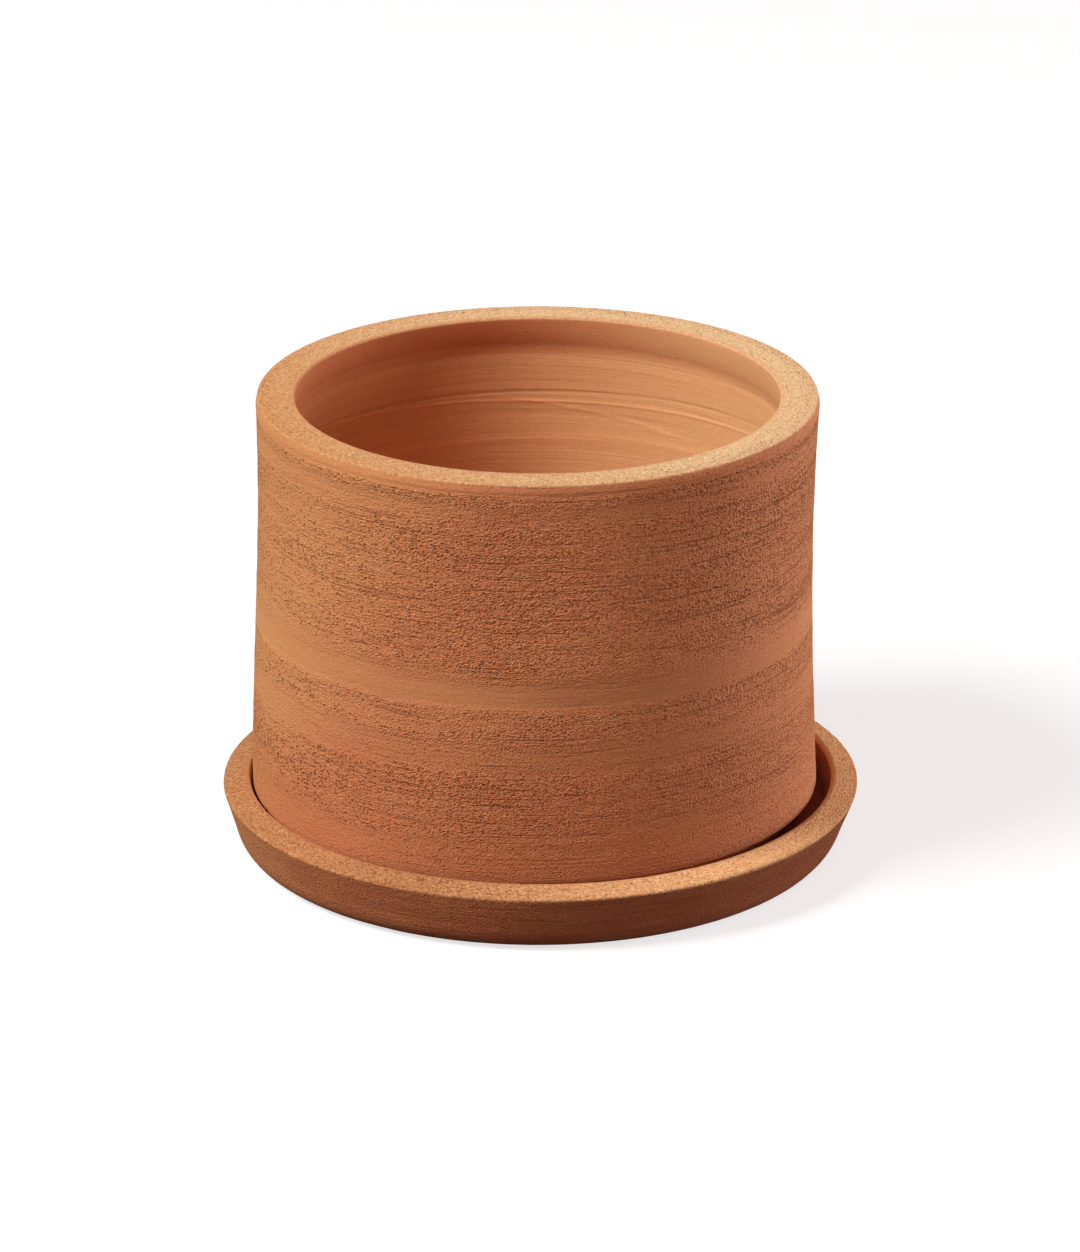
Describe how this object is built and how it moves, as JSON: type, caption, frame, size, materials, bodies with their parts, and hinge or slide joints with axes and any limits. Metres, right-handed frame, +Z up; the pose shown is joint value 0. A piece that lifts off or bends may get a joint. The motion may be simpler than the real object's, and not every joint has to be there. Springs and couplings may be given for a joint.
{
  "type": "plant pot with saucer",
  "caption": "Thick-walled cylindrical terracotta plant pot with a rolled inner lip and a drain hole, standing loose in its own flared saucer.",
  "frame": {"origin": "centre of the saucer's underside, on the surface that it stands on", "axes": "+Z up along the saucer's axis; the pot stands a little off centre towards -X; -Y faces the viewer"},
  "size_m": [0.2526, 0.2526, 0.1855],
  "materials": {
    "pot_clay": "unglazed, grogged terracotta with drag marks from turning",
    "saucer_clay": "unglazed terracotta, smoother, with fine pinholes"
  },
  "bodies": {
    "saucer": {"saucer": "saucer_clay"},
    "pot": {"pot": "pot_clay"}
  },
  "joints": [
    {"name": "pot_lift", "type": "slide", "parent": "saucer", "child": "pot", "axis": [0, 0, 1], "range_m": [0, 0.1]}
  ]
}
